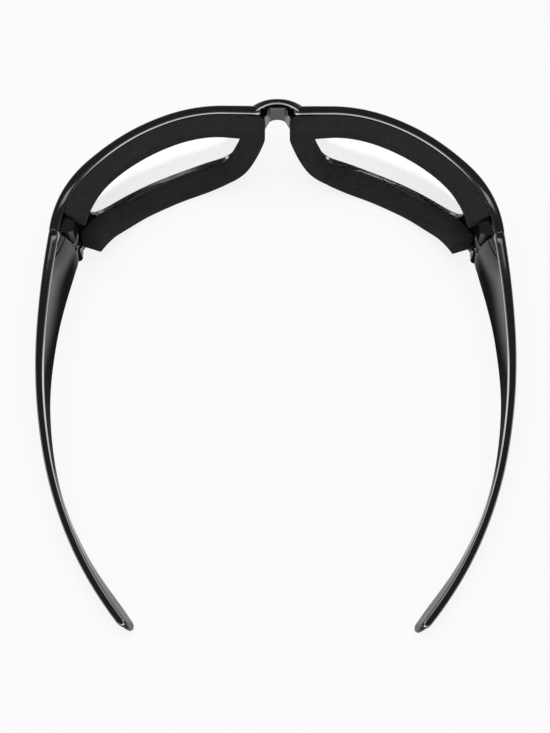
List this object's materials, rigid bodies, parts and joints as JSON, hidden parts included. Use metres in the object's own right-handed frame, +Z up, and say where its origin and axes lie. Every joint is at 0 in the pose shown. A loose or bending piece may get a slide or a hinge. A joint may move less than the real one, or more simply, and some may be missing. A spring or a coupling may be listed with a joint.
{
  "type": "wraparound sunglasses",
  "caption": "Wraparound glasses with clear lenses in a moulded front, foam gaskets behind the rims, and curved arms that fold on screwed knuckle hinges.",
  "frame": {"origin": "bottom centre of the bounding box with the arms open, standing on the lower rims and the arm tips", "axes": "+Z up, +Y the way the wearer looks, +X towards the arm on the wearer's right"},
  "size_m": [0.1434, 0.1624, 0.0372],
  "materials": {
    "black_plastic": "polished moulded nylon",
    "clear_lens": "clear polished polycarbonate",
    "black_foam": "matte closed-cell foam",
    "screw_steel": "turned"
  },
  "bodies": {
    "front": {"front_frame": "black_plastic", "lens_right": "clear_lens", "lens_left": "clear_lens", "foam_right": "black_foam", "foam_left": "black_foam", "hinge_screw_right": "screw_steel", "hinge_screw_left": "screw_steel"},
    "arm_right": {"temple_right": "black_plastic"},
    "arm_left": {"temple_left": "black_plastic"}
  },
  "joints": [
    {"name": "arm_right_fold", "type": "hinge", "parent": "front", "child": "arm_right", "pos_m": [0.06291, 0.03929, 0.0224], "axis": [-0.0796, -0.0631, -0.9948], "range_deg": [0, 82]},
    {"name": "arm_left_fold", "type": "hinge", "parent": "front", "child": "arm_left", "pos_m": [-0.06291, 0.03929, 0.0224], "axis": [-0.0796, 0.0631, 0.9948], "range_deg": [0, 74]}
  ]
}
